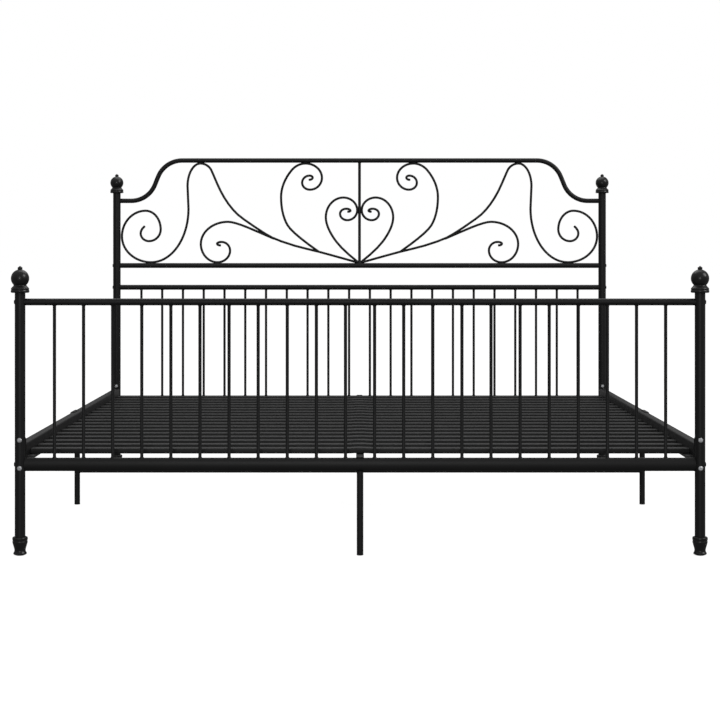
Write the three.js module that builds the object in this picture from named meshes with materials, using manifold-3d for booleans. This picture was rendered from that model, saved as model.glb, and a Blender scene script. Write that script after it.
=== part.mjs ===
// A metal double bed frame with a scrolled headboard, in millimetres, +Z up.
// X runs across the bed and Y along it. The head end is at +Y, and the floor is Z = 0.
// The four corners are mirror images, so corner pieces and half rails are modelled once,
// for the corner at +X and +Y, and placed by groups that mirror them.

import * as THREE from "three";
import { mergeVertices } from "three/addons/utils/BufferGeometryUtils.js";
import Module from "manifold-3d";

const manifold = await Module();
manifold.setup();

// Play between two pieces that touch, and the play of a bolt in its hole.
const GAP = 0.3;
const BOLT_PLAY = 0.8;

// Layout: half the spacing of the posts, and the heights of the rails' centre lines.
const POST_X = 1030;
const POST_Y = 1030;
const FOOT_LOW_RAIL_Z = 275;
const HEAD_LOW_RAIL_Z = 287.5;
const BAR_TOP_RAIL_Z = 767;
const SCROLL_RAIL_Z = 859.5;
const ARCH_END_Z = 1134;
const ARCH_TOP_Z = 1305.3;

// Corner posts: round tube with a ball finial on top and a moulded cap underneath.
const POST_RADIUS = 15.9;
const POST_WALL = 1.2;
const POST_BOTTOM_Z = 32;
const FOOT_POST_TOP_Z = 795;
const HEAD_POST_TOP_Z = 1167;
const FINIAL_PLUG_DEPTH = 18;
const FINIAL_PLUG_RADIUS = 13.8;
const CAP_BORE_RADIUS = 16.6;

// Head and foot panels: round rails, an oval low rail and a row of round bars.
const RAIL_RADIUS = 10.5;
const RAIL_WALL = 1;
const OVAL_HALF_HEIGHT = 20.5;
const OVAL_HALF_DEPTH = 10;
const OVAL_WALL = 1.2;
const RAIL_END_PLUG = 15;
const BAR_RADIUS = 5;
const BAR_COUNT = 22;
const BAR_PITCH = 88.17;

// Scrolled upper panel.
const ARCH_RADIUS = 9.7;
const ARCH_WALL = 1;
const ROD_RADIUS = 5;
const CENTRE_ROD_RADIUS = 6;
const SPIGOT_RADIUS = 6;
const SPIGOT_BORE = 3.5;
const SPIGOT_LENGTH = 10;

// Side rails: box tube with an inner ledge for the slats, split at mid-length.
const SIDE_RAIL_INNER_X = 1015.5;
const SIDE_RAIL_WIDTH = 28;
const SIDE_RAIL_BOTTOM_Z = 277.5;
const SIDE_RAIL_HEIGHT = 60;
const SIDE_RAIL_WALL = 1.2;
const LEDGE_WIDTH = 22;
const LEDGE_THICKNESS = 2.5;
const LEDGE_TOP_Z = 296.7;
const END_PLATE_WIDTH = 30;
const END_PLATE_HEIGHT = 100;
const END_PLATE_THICKNESS = 4;
const END_PLATE_CORNER = 6;
const CONNECTOR_LENGTH = 80;
const CONNECTOR_THICKNESS = 2.5;
const CONNECTOR_LIP = 14;

// Slats, and the beam and legs that hold them in the middle.
const SLAT_COUNT = 18;
const SLAT_WIDTH = 40;
const SLAT_HEIGHT = 16;
const SLAT_SHEET = 1;
const BEAM_WIDTH = 24;
const BEAM_HEIGHT = 25;
const BEAM_WALL = 1.2;
const BEAM_HOOK_THICKNESS = 2;
const MID_LEG_X = 1027.5;
const LEG_RADIUS = 10;
const LEG_WALL = 1;
const LEG_PLATE_THICKNESS = 3;
const LEG_PLATE_LENGTH = 60;
const SADDLE_LENGTH = 120;
const SADDLE_LIP = 17;
const STRETCHER_Z = 125;
const STUD_RADIUS = 4;
const STUD_LENGTH = 13;

// Bolts: zinc ones with nuts, along Y through the posts and the side rails' end plates, and
// black ones along X into the panels. The zinc ones stand a little inside the posts' axes.
const RAIL_BOLT_X = 1028.5;
const RAIL_BOLT_HEIGHTS = [264.5, 349.4];
const RAIL_BOLT_RADIUS = 3.9;
const RAIL_BOLT_HEAD_RADIUS = 7.2;
const RAIL_BOLT_HEAD_HEIGHT = 4;
const RAIL_BOLT_END = 3;
const RAIL_NUT_RADIUS = 6.6;
const RAIL_NUT_LENGTH = 6.5;
const PANEL_BOLT_RADIUS = 3;
const PANEL_BOLT_HEAD_RADIUS = 6.4;
const PANEL_BOLT_HEAD_HEIGHT = 2;
const PANEL_BOLT_GRIP = 20;

// How many flat sides stand for each round.
const POST_SIDES = 16;
const TURNED_SIDES = 12;
const RAIL_SIDES = 12;
const OVAL_SIDES = 16;
const BAR_SIDES = 8;
const ROD_SIDES = 6;
const BOLT_SIDES = 8;
const NUT_SIDES = 6;
const BEND_STEP_DEGREES = 24;

// Finial, from its base up: flange, collar, waist, ball and tip.
const FINIAL_FLANGE_RADIUS = 28;
const FINIAL_FLANGE_Z = 4;
const FINIAL_COLLAR_RADIUS = 27;
const FINIAL_COLLAR_Z = 13;
const FINIAL_WAIST_RADIUS = 20;
const FINIAL_WAIST_Z = 21.5;
const FINIAL_BALL_RADIUS = 27.4;
const FINIAL_BALL_Z = 43.3;
const FINIAL_BALL_STEPS = 6;
const FINIAL_NECK_RADIUS = 8;
const FINIAL_TIP_RADIUS = 7.2;
const FINIAL_TIP_Z = 76;
const FINIAL_HEIGHT = 81.5;

// Foot cap, from the floor up: base, foot, waist, shoulder and rim.
const CAP_BASE_RADIUS = 15;
const CAP_FOOT_RADIUS = 20.2;
const CAP_FOOT_Z = 5;
const CAP_WAIST_RADIUS = 16.8;
const CAP_WAIST_Z = 16;
const CAP_SHOULDER_RADIUS = 22.4;
const CAP_SHOULDER_Z = 38;
const CAP_RIM_RADIUS = 23;
const CAP_RIM_Z = 46;
const CAP_HEIGHT = 55.7;

// Bent rods of the left half of the scrolled panel, as waypoints of [x, z, heading in degrees].
// A heading of 0 points to +X and 90 points up. A rod turns from one heading to the next.
const LONG_SCROLL = [
  [-913, 1025, -140],
  [-929, 996, -90],
  [-893.5, 963, 0],
  [-844, 1013, 90],
  [-908, 1092, 180],
  [-1008.5, 983, 270],
  [-884, 873.2, 360],
  [-726, 1100, 450],
  [-730, 1197, 450],
  [-675, 1292.6, 360],
  [-630, 1266, 300],
  [-604.5, 1207.5, 293],
  [-517, 1076, 317],
  [-444, 1023, 326],
  [-371, 978, 334],
  [-275, 943.5, 343],
  [-173, 918, 345],
  [-4, 871, 344],
];
const LOWER_SCROLL = [
  [-591, 945, 180],
  [-604.5, 952, 90],
  [-586, 959.5, 0],
  [-549.5, 923, -90],
  [-603, 873.2, -180],
  [-673.5, 951, -270],
  [-558, 1045, -360],
  [-444, 1008, -384],
  [-365, 974, -385],
];
const UPPER_SCROLL = [
  [-213, 1223.5, 0],
  [-199, 1232.5, 90],
  [-212, 1241, 180],
  [-243.5, 1210.5, 270],
  [-210, 1181.5, 360],
  [-159.5, 1232, 450],
  [-229, 1292.6, 540],
  [-288, 1264, 590],
  [-333, 1150, 630],
  [-305, 1030, 661],
  [-173, 918, 685],
];
const HEART_SCROLL = [
  [-49, 1088, 0],
  [-38.5, 1092, 90],
  [-56, 1100.5, 180],
  [-82.5, 1079, 270],
  [-52, 1052, 360],
  [-9.6, 1094, 450],
  [-68.5, 1148, 540],
  [-143, 1064, 630],
  [-98.6, 961, 667],
  [-4, 872, 682],
];
const SCROLLS = [LONG_SCROLL, LOWER_SCROLL, UPPER_SCROLL, HEART_SCROLL];

// The arch leaves the post level, climbs through two bends and runs level across the middle.
const ARCH_LOW_BEND_X = 969;
const ARCH_LOW_BEND_RADIUS = 108;
const ARCH_HIGH_BEND_X = 752.7;
const ARCH_HIGH_BEND_RADIUS = 110;
const ARCH_SLOPE = 67;

// Where the panel rails end, before they are shaped to the posts, and where their bores end.
const RAIL_END_X = POST_X - POST_RADIUS / 2;
const RAIL_BORED_X = POST_X - POST_RADIUS - RAIL_END_PLUG;

const PAINT = { color: 0x1d1d1e, roughness: 0.45, metalness: 0.35 };
const PLASTIC = { color: 0x161616, roughness: 0.5, metalness: 0 };
const ZINC = { color: 0x9a9da1, roughness: 0.35, metalness: 0.9 };
const BLACK_SCREW = { color: 0x18181a, roughness: 0.4, metalness: 0.6 };

const radians = THREE.MathUtils.degToRad;

// ---- Sections and the shapes swept from them ----

function ring(sides, radiusU, radiusV = radiusU, centreU = 0, centreV = 0) {
  return Array.from({ length: sides }, (_, i) => {
    const angle = (i * 2 * Math.PI) / sides;
    return new THREE.Vector2(
      centreU + radiusU * Math.cos(angle),
      centreV + radiusV * Math.sin(angle),
    );
  });
}

function outline(corners) {
  return corners.map(([u, v]) => new THREE.Vector2(u, v));
}

function rectangle(u0, v0, u1, v1) {
  return outline([
    [u0, v0],
    [u1, v0],
    [u1, v1],
    [u0, v1],
  ]);
}

// A rectangle with its four corners cut off.
function cutCorners(u0, v0, u1, v1, cut) {
  return outline([
    [u0 + cut, v0],
    [u1 - cut, v0],
    [u1, v0 + cut],
    [u1, v1 - cut],
    [u1 - cut, v1],
    [u0 + cut, v1],
    [u0, v1 - cut],
    [u0, v0 + cut],
  ]);
}

function section(edge, hole) {
  const shape = new THREE.Shape(edge);
  if (hole) shape.holes.push(new THREE.Path(hole));
  return shape;
}

function alongZ(shape, from, to) {
  const depth = to - from;
  return new THREE.ExtrudeGeometry(shape, { depth, bevelEnabled: false }).translate(0, 0, from);
}

// The section's two axes become Y and Z.
function alongX(shape, from, to) {
  const turn = new THREE.Matrix4().makeBasis(
    new THREE.Vector3(0, 1, 0),
    new THREE.Vector3(0, 0, 1),
    new THREE.Vector3(1, 0, 0),
  );
  return alongZ(shape, from, to).applyMatrix4(turn);
}

// The section's two axes become X and Z.
function alongY(shape, from, to) {
  return alongZ(shape, -to, -from).rotateX(Math.PI / 2);
}

function box(x0, y0, z0, x1, y1, z1) {
  return alongZ(section(rectangle(x0, y0, x1, y1)), z0, z1);
}

// A profile of [radius, height] points turned about the Y axis.
function turned(profile, sides) {
  return new THREE.LatheGeometry(outline(profile), sides);
}

// ---- Solid joins and cuts ----

// A turned shape's triangles shrink to nothing where they meet its axis, and are left out.
function toSolid(geometry) {
  const bare = geometry.clone();
  bare.deleteAttribute("normal");
  bare.deleteAttribute("uv");
  const merged = mergeVertices(bare, 1e-3);
  const index = merged.index.array;
  const triangles = [];
  for (let i = 0; i < index.length; i += 3) {
    const [a, b, c] = index.slice(i, i + 3);
    if (a !== b && b !== c && c !== a) triangles.push(a, b, c);
  }
  const mesh = new manifold.Mesh({
    numProp: 3,
    vertProperties: merged.attributes.position.array,
    triVerts: new Uint32Array(triangles),
  });
  return new manifold.Manifold(mesh);
}

function union(pieces) {
  return pieces.map(toSolid).reduce((all, piece) => all.add(piece));
}

// Joins the pieces, takes the cuts away, and then joins on what is added after the cuts.
function weld(pieces, cuts = [], added = []) {
  let whole = union(pieces);
  if (cuts.length) whole = whole.subtract(union(cuts));
  if (added.length) whole = whole.add(union(added));
  const mesh = whole.getMesh();
  const geometry = new THREE.BufferGeometry();
  geometry.setAttribute("position", new THREE.BufferAttribute(mesh.vertProperties, 3));
  geometry.setIndex(new THREE.BufferAttribute(mesh.triVerts, 1));
  geometry.computeVertexNormals();
  return geometry;
}

// ---- Bent rods ----

// A cubic curve between two waypoints. On a bend its handles make a quarter ellipse's even curve.
function bend([x0, z0, heading0], [x1, z1, heading1]) {
  const start = new THREE.Vector2(x0, z0);
  const end = new THREE.Vector2(x1, z1);
  const leave = new THREE.Vector2(Math.cos(radians(heading0)), Math.sin(radians(heading0)));
  const arrive = new THREE.Vector2(Math.cos(radians(heading1)), Math.sin(radians(heading1)));
  const chord = end.clone().sub(start);
  const turn = radians(Math.abs(heading1 - heading0));
  let leaveReach = chord.length() / 3;
  let arriveReach = leaveReach;
  if (Math.sin(turn) > 0.1) {
    const roundness = ((4 / 3) * Math.tan(turn / 4)) / Math.tan(turn / 2);
    leaveReach = (roundness * chord.cross(arrive)) / leave.cross(arrive);
    arriveReach = (roundness * leave.cross(chord)) / leave.cross(arrive);
  }
  const points = [
    start,
    start.clone().addScaledVector(leave, leaveReach),
    end.clone().addScaledVector(arrive, -arriveReach),
    end,
  ];
  return new THREE.CubicBezierCurve3(...points.map((p) => new THREE.Vector3(p.x, 0, p.y)));
}

// A rod's centre line. Equal steps of t follow its bends, so tight curls get short steps.
class RodCurve extends THREE.Curve {
  constructor(waypoints) {
    super();
    this.places = [];
    for (let i = 1; i < waypoints.length; i++) {
      const curve = bend(waypoints[i - 1], waypoints[i]);
      const turn = Math.abs(waypoints[i][2] - waypoints[i - 1][2]);
      const steps = Math.max(1, Math.ceil(turn / BEND_STEP_DEGREES));
      for (let k = 0; k < steps; k++) {
        this.places.push({ curve, from: k / steps, share: 1 / steps });
      }
    }
    this.steps = this.places.length;
  }

  getPoint(t, target = new THREE.Vector3()) {
    const along = t * this.steps;
    const index = Math.min(Math.floor(along), this.steps - 1);
    const place = this.places[index];
    return place.curve.getPoint(place.from + (along - index) * place.share, target);
  }

  getUtoTmapping(u) {
    return u;
  }
}

function rod(waypoints, radius, sides) {
  const extrudePath = new RodCurve(waypoints);
  return new THREE.ExtrudeGeometry(section(ring(sides, radius)), {
    steps: extrudePath.steps,
    extrudePath,
  });
}

// ---- Corner pieces: origin on the post's axis at the floor, +X and +Y point out of the bed ----

function post(topZ, panelBoltHeights, hasSpigotHole) {
  const tube = section(
    ring(POST_SIDES, POST_RADIUS),
    ring(POST_SIDES, POST_RADIUS - POST_WALL),
  );
  const reach = POST_RADIUS + 5;
  const boltX = RAIL_BOLT_X - POST_X;
  const holes = RAIL_BOLT_HEIGHTS.map((z) => {
    const hole = section(ring(BOLT_SIDES, RAIL_BOLT_RADIUS + BOLT_PLAY, undefined, boltX, z));
    return alongY(hole, -reach, reach);
  });
  for (const z of panelBoltHeights) {
    const hole = section(ring(BOLT_SIDES, PANEL_BOLT_RADIUS + BOLT_PLAY, undefined, 0, z));
    holes.push(alongX(hole, -reach, reach));
  }
  if (hasSpigotHole) {
    const hole = section(ring(BOLT_SIDES, SPIGOT_RADIUS + BOLT_PLAY, undefined, 0, ARCH_END_Z));
    holes.push(alongX(hole, -reach, 0));
  }
  return weld([alongZ(tube, POST_BOTTOM_Z + GAP, topZ - GAP)], holes);
}

// The ball's outline as radius and height, from the waist up to the neck of the tip.
function ballOutline() {
  const from = -Math.acos(FINIAL_WAIST_RADIUS / FINIAL_BALL_RADIUS);
  const to = Math.acos(FINIAL_NECK_RADIUS / FINIAL_BALL_RADIUS);
  const points = [];
  for (let i = 0; i <= FINIAL_BALL_STEPS; i++) {
    const angle = from + ((to - from) * i) / FINIAL_BALL_STEPS;
    const height = FINIAL_BALL_Z + FINIAL_BALL_RADIUS * Math.sin(angle);
    points.push([FINIAL_BALL_RADIUS * Math.cos(angle), height]);
  }
  return points;
}

function finial() {
  const profile = [
    [0, -FINIAL_PLUG_DEPTH],
    [FINIAL_PLUG_RADIUS, -FINIAL_PLUG_DEPTH],
    [FINIAL_PLUG_RADIUS, 0],
    [FINIAL_COLLAR_RADIUS, 0],
    [FINIAL_FLANGE_RADIUS, FINIAL_FLANGE_Z],
    [FINIAL_COLLAR_RADIUS, FINIAL_COLLAR_Z],
    [FINIAL_WAIST_RADIUS, FINIAL_WAIST_Z],
    ...ballOutline(),
    [FINIAL_TIP_RADIUS, FINIAL_TIP_Z],
    [FINIAL_TIP_RADIUS / 2, FINIAL_HEIGHT - 1],
    [0, FINIAL_HEIGHT],
  ];
  return turned(profile, TURNED_SIDES).rotateX(Math.PI / 2);
}

function footCap() {
  const profile = [
    [0, 0],
    [CAP_BASE_RADIUS, 0],
    [CAP_FOOT_RADIUS, CAP_FOOT_Z],
    [CAP_WAIST_RADIUS, CAP_WAIST_Z],
    [CAP_SHOULDER_RADIUS, CAP_SHOULDER_Z],
    [CAP_RIM_RADIUS, CAP_RIM_Z],
    [CAP_RIM_RADIUS, CAP_HEIGHT],
    [CAP_BORE_RADIUS, CAP_HEIGHT],
    [CAP_BORE_RADIUS, POST_BOTTOM_Z],
    [0, POST_BOTTOM_Z],
  ];
  return turned(profile, POST_SIDES).rotateX(Math.PI / 2);
}

// A bolt along +Y. Its round head is outside the post, and its shank ends that far inside.
function bolt(shankRadius, headRadius, headHeight, end) {
  const seat = POST_RADIUS + GAP;
  return turned(
    [
      [0, -end],
      [shankRadius, -end],
      [shankRadius, seat],
      [headRadius, seat],
      [headRadius, seat + headHeight / 3],
      [headRadius * 0.65, seat + headHeight],
      [0, seat + headHeight],
    ],
    BOLT_SIDES,
  );
}

// The bolt with its nut tightened against the side rail's end plate.
function railBolt() {
  const nutSeat = POST_RADIUS + GAP + END_PLATE_THICKNESS + GAP;
  const nutEnd = nutSeat + RAIL_NUT_LENGTH;
  const end = nutEnd + RAIL_BOLT_END;
  return weld([
    bolt(RAIL_BOLT_RADIUS, RAIL_BOLT_HEAD_RADIUS, RAIL_BOLT_HEAD_HEIGHT, end),
    alongY(section(ring(NUT_SIDES, RAIL_NUT_RADIUS)), -nutEnd, -nutSeat),
  ]);
}

function panelBolt() {
  const end = POST_RADIUS + PANEL_BOLT_GRIP;
  const along = bolt(PANEL_BOLT_RADIUS, PANEL_BOLT_HEAD_RADIUS, PANEL_BOLT_HEAD_HEIGHT, end);
  return along.rotateZ(-Math.PI / 2);
}

// ---- Head and foot panels: in the plane of two posts, which is Y = 0 here ----

// The two round posts, which shape the ends of the rails that meet them.
function postCuts() {
  return [-POST_X, POST_X].map((x) =>
    alongZ(section(ring(POST_SIDES, POST_RADIUS + GAP, undefined, x)), 0, ARCH_TOP_Z),
  );
}

// A rail between the posts, its bore, and the bolt holes through its solid ends.
function panelRail(z, halfDepth, halfHeight, wall, sides) {
  const edge = ring(sides, halfDepth, halfHeight, 0, z);
  const bore = ring(sides, halfDepth - wall, halfHeight - wall, 0, z);
  const hole = section(ring(BOLT_SIDES, PANEL_BOLT_RADIUS + BOLT_PLAY, undefined, 0, z));
  return {
    solid: alongX(section(edge), -RAIL_END_X, RAIL_END_X),
    cuts: [
      alongX(section(bore), -RAIL_BORED_X, RAIL_BORED_X),
      alongX(hole, -POST_X, 1 - RAIL_BORED_X),
      alongX(hole, RAIL_BORED_X - 1, POST_X),
    ],
  };
}

function roundRail(z) {
  return panelRail(z, RAIL_RADIUS, RAIL_RADIUS, RAIL_WALL, RAIL_SIDES);
}

function barPanel(lowRailZ) {
  const low = panelRail(lowRailZ, OVAL_HALF_DEPTH, OVAL_HALF_HEIGHT, OVAL_WALL, OVAL_SIDES);
  const top = roundRail(BAR_TOP_RAIL_Z);
  const bars = [];
  for (let i = 0; i < BAR_COUNT; i++) {
    const x = (i - (BAR_COUNT - 1) / 2) * BAR_PITCH;
    const bar = section(ring(BAR_SIDES, BAR_RADIUS, undefined, x));
    bars.push(alongZ(bar, lowRailZ, BAR_TOP_RAIL_Z));
  }
  const studHole = ring(BOLT_SIDES, STUD_RADIUS + BOLT_PLAY);
  const cuts = [
    ...postCuts(),
    ...low.cuts,
    ...top.cuts,
    alongZ(section(studHole), lowRailZ - 2 * OVAL_HALF_HEIGHT, lowRailZ),
  ];
  return weld([low.solid, top.solid, ...bars], cuts);
}

function archWaypoints(endX) {
  const sine = Math.sin(radians(ARCH_SLOPE));
  const rise = 1 - Math.cos(radians(ARCH_SLOPE));
  const lowX = ARCH_LOW_BEND_X - ARCH_LOW_BEND_RADIUS * sine;
  const lowZ = ARCH_END_Z + ARCH_LOW_BEND_RADIUS * rise;
  const highX = ARCH_HIGH_BEND_X + ARCH_HIGH_BEND_RADIUS * sine;
  const highZ = ARCH_TOP_Z - ARCH_HIGH_BEND_RADIUS * rise;
  const left = [
    [-endX, ARCH_END_Z, 0],
    [-ARCH_LOW_BEND_X, ARCH_END_Z, 0],
    [-lowX, lowZ, ARCH_SLOPE],
    [-highX, highZ, ARCH_SLOPE],
    [-ARCH_HIGH_BEND_X, ARCH_TOP_Z, 0],
  ];
  const right = left.map(([x, z, heading]) => [-x, z, -heading]).reverse();
  return [...left, ...right];
}

function mirrorWaypoints(waypoints) {
  return waypoints.map(([x, z, heading]) => [-x, z, 180 - heading]);
}

// A tube in each end of the arch, which plugs into the post.
function spigots() {
  const tube = section(
    ring(BAR_SIDES, SPIGOT_RADIUS, undefined, 0, ARCH_END_Z),
    ring(BAR_SIDES, SPIGOT_BORE, undefined, 0, ARCH_END_Z),
  );
  const from = RAIL_BORED_X - 1;
  const to = POST_X - POST_RADIUS + SPIGOT_LENGTH;
  return [alongX(tube, -to, -from), alongX(tube, from, to)];
}

function scrollPanel() {
  const rail = roundRail(SCROLL_RAIL_Z);
  const archBore = rod(archWaypoints(RAIL_BORED_X), ARCH_RADIUS - ARCH_WALL, RAIL_SIDES);
  const spigotHole = section(ring(BAR_SIDES, SPIGOT_BORE + 1, undefined, 0, ARCH_END_Z));
  const centreRod = section(ring(BAR_SIDES, CENTRE_ROD_RADIUS));
  const pieces = [
    rail.solid,
    rod(archWaypoints(RAIL_END_X), ARCH_RADIUS, RAIL_SIDES),
    alongZ(centreRod, SCROLL_RAIL_Z, ARCH_TOP_Z),
    ...SCROLLS.map((waypoints) => rod(waypoints, ROD_RADIUS, ROD_SIDES)),
    ...SCROLLS.map((waypoints) => rod(mirrorWaypoints(waypoints), ROD_RADIUS, ROD_SIDES)),
  ];
  const cuts = [
    ...postCuts(),
    ...rail.cuts,
    archBore,
    alongX(spigotHole, -POST_X, 1 - RAIL_BORED_X),
    alongX(spigotHole, RAIL_BORED_X - 1, POST_X),
  ];
  return weld(pieces, cuts, spigots());
}

// ---- Side rails and their joint: the quarter at +X and +Y ----

function sideRail() {
  const inner = SIDE_RAIL_INNER_X;
  const outer = inner + SIDE_RAIL_WIDTH;
  const bottom = SIDE_RAIL_BOTTOM_Z;
  const top = bottom + SIDE_RAIL_HEIGHT;
  const ledgeEdge = inner - LEDGE_WIDTH;
  const ledgeUnder = LEDGE_TOP_Z - LEDGE_THICKNESS;
  const edge = outline([
    [outer, bottom],
    [outer, top],
    [inner, top],
    [inner, LEDGE_TOP_Z],
    [ledgeEdge, LEDGE_TOP_Z],
    [ledgeEdge, ledgeUnder],
    [inner - LEDGE_THICKNESS, ledgeUnder],
    [inner - LEDGE_THICKNESS, bottom],
  ]);
  const wall = SIDE_RAIL_WALL;
  const hollow = rectangle(inner + wall, bottom + wall, outer - wall, top - wall);
  const plateOuterY = POST_Y - POST_RADIUS - GAP;
  const plateInnerY = plateOuterY - END_PLATE_THICKNESS;
  const plateHalf = END_PLATE_WIDTH / 2;
  const plateMiddleZ = (RAIL_BOLT_HEIGHTS[0] + RAIL_BOLT_HEIGHTS[1]) / 2;
  const plateEdge = cutCorners(
    POST_X - plateHalf,
    plateMiddleZ - END_PLATE_HEIGHT / 2,
    POST_X + plateHalf,
    plateMiddleZ + END_PLATE_HEIGHT / 2,
    END_PLATE_CORNER,
  );
  const holes = RAIL_BOLT_HEIGHTS.map((z) => {
    const hole = section(ring(BOLT_SIDES, RAIL_BOLT_RADIUS + BOLT_PLAY, undefined, RAIL_BOLT_X, z));
    return alongY(hole, plateInnerY - 1, POST_Y);
  });
  const tube = alongY(section(edge, hollow), GAP, plateInnerY + 1);
  const plate = alongY(section(plateEdge), plateInnerY, plateOuterY);
  return weld([tube, plate], holes);
}

// A C-shaped bracket over the outer side of the two half rails where they meet.
function railConnector() {
  const outer = SIDE_RAIL_INNER_X + SIDE_RAIL_WIDTH + GAP;
  const lip = outer - CONNECTOR_LIP;
  const bottom = SIDE_RAIL_BOTTOM_Z - GAP;
  const top = SIDE_RAIL_BOTTOM_Z + SIDE_RAIL_HEIGHT + GAP;
  const thick = CONNECTOR_THICKNESS;
  const edge = outline([
    [lip, bottom - thick],
    [outer + thick, bottom - thick],
    [outer + thick, top + thick],
    [lip, top + thick],
    [lip, top],
    [outer, top],
    [outer, bottom],
    [lip, bottom],
  ]);
  return alongY(section(edge), -CONNECTOR_LENGTH / 2, CONNECTOR_LENGTH / 2);
}

// ---- Middle support ----

const BEAM_BOTTOM_Z = LEDGE_TOP_Z - BEAM_HEIGHT;

// The two side legs, the stretcher and the middle leg are one welded frame across the bed.
function midLegFrame() {
  const bore = LEG_RADIUS - LEG_WALL;
  const plateTop = SIDE_RAIL_BOTTOM_Z - GAP - CONNECTOR_THICKNESS - GAP;
  const plateBottom = plateTop - LEG_PLATE_THICKNESS;
  const saddleTop = BEAM_BOTTOM_Z - GAP;
  const saddleBottom = saddleTop - LEG_PLATE_THICKNESS;
  const stretcher = section(ring(RAIL_SIDES, LEG_RADIUS, undefined, 0, STRETCHER_Z));
  const stretcherBore = section(ring(RAIL_SIDES, bore, undefined, 0, STRETCHER_Z));
  const pieces = [
    alongX(stretcher, -MID_LEG_X, MID_LEG_X),
    alongZ(section(ring(RAIL_SIDES, LEG_RADIUS)), 0, saddleBottom + 1),
  ];
  const cuts = [
    alongX(stretcherBore, -MID_LEG_X, MID_LEG_X),
    alongZ(section(ring(RAIL_SIDES, bore)), -1, saddleBottom),
  ];
  for (const side of [-1, 1]) {
    const x = side * MID_LEG_X;
    const ends = [side * SIDE_RAIL_INNER_X, x + side * LEG_RADIUS];
    const halfLength = LEG_PLATE_LENGTH / 2;
    pieces.push(
      alongZ(section(ring(RAIL_SIDES, LEG_RADIUS, undefined, x)), 0, plateBottom + 1),
      box(Math.min(...ends), -halfLength, plateBottom, Math.max(...ends), halfLength, plateTop),
    );
    cuts.push(alongZ(section(ring(RAIL_SIDES, bore, undefined, x)), -1, plateBottom));
  }
  const inside = BEAM_WIDTH / 2 + GAP;
  const outside = inside + LEG_PLATE_THICKNESS;
  const saddle = outline([
    [-outside, saddleBottom],
    [outside, saddleBottom],
    [outside, saddleTop + SADDLE_LIP],
    [inside, saddleTop + SADDLE_LIP],
    [inside, saddleTop],
    [-inside, saddleTop],
    [-inside, saddleTop + SADDLE_LIP],
    [-outside, saddleTop + SADDLE_LIP],
  ]);
  pieces.push(alongY(section(saddle), -SADDLE_LENGTH / 2, SADDLE_LENGTH / 2));
  return weld(pieces, cuts);
}

// Half of the beam under the slats, with an upright plate and a hook that lies on the low rail.
function centreBeam(lowRailZ) {
  const half = BEAM_WIDTH / 2;
  const wall = BEAM_WALL;
  const endY = POST_Y - OVAL_HALF_DEPTH - GAP;
  const plateY = endY - BEAM_HOOK_THICKNESS;
  const edge = rectangle(-half, BEAM_BOTTOM_Z, half, LEDGE_TOP_Z);
  const hollow = rectangle(-half + wall, BEAM_BOTTOM_Z + wall, half - wall, LEDGE_TOP_Z - wall);
  const hookZ = lowRailZ + OVAL_HALF_HEIGHT + GAP;
  const hookTop = hookZ + BEAM_HOOK_THICKNESS;
  const hookEnd = POST_Y + OVAL_HALF_DEPTH / 2;
  return weld([
    alongY(section(edge, hollow), GAP, endY),
    box(-half, plateY, BEAM_BOTTOM_Z, half, endY, hookTop),
    box(-half, plateY, hookZ, half, hookEnd, hookTop),
  ]);
}

// A leg under the middle of a low rail, with a stud on top that screws into the rail.
function centreLeg(lowRailZ) {
  const top = lowRailZ - OVAL_HALF_HEIGHT - GAP;
  return weld(
    [
      alongZ(section(ring(RAIL_SIDES, LEG_RADIUS)), 0, top),
      alongZ(section(ring(BOLT_SIDES, STUD_RADIUS)), top - 1, top + STUD_LENGTH),
    ],
    [alongZ(section(ring(RAIL_SIDES, LEG_RADIUS - LEG_WALL)), -1, top - STUD_LENGTH)],
  );
}

// A rolled channel, open below, that lies across the two ledges and the beam.
function slat() {
  const half = SLAT_WIDTH / 2;
  const bottom = LEDGE_TOP_Z + GAP;
  const top = bottom + SLAT_HEIGHT;
  const edge = outline([
    [-half, bottom],
    [-half + SLAT_SHEET, bottom],
    [-half + SLAT_SHEET, top - SLAT_SHEET],
    [half - SLAT_SHEET, top - SLAT_SHEET],
    [half - SLAT_SHEET, bottom],
    [half, bottom],
    [half, top],
    [-half, top],
  ]);
  const end = SIDE_RAIL_INNER_X - 2 * GAP;
  return alongX(section(edge), -end, end);
}

// ---- Assembly ----

function piece(name, geometry, finish, x = 0, y = 0, z = 0) {
  const mesh = new THREE.Mesh(geometry, new THREE.MeshStandardMaterial(finish));
  mesh.name = name;
  mesh.position.set(x, y, z);
  return mesh;
}

const SIDES = { left: -1, right: 1 };
const ENDS = {
  foot: {
    sign: -1,
    topZ: FOOT_POST_TOP_Z,
    lowRailZ: FOOT_LOW_RAIL_Z,
    boltHeights: [FOOT_LOW_RAIL_Z, BAR_TOP_RAIL_Z],
  },
  head: {
    sign: 1,
    topZ: HEAD_POST_TOP_Z,
    lowRailZ: HEAD_LOW_RAIL_Z,
    boltHeights: [BAR_TOP_RAIL_Z, SCROLL_RAIL_Z],
  },
};

const bedFrame = new THREE.Group();

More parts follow.
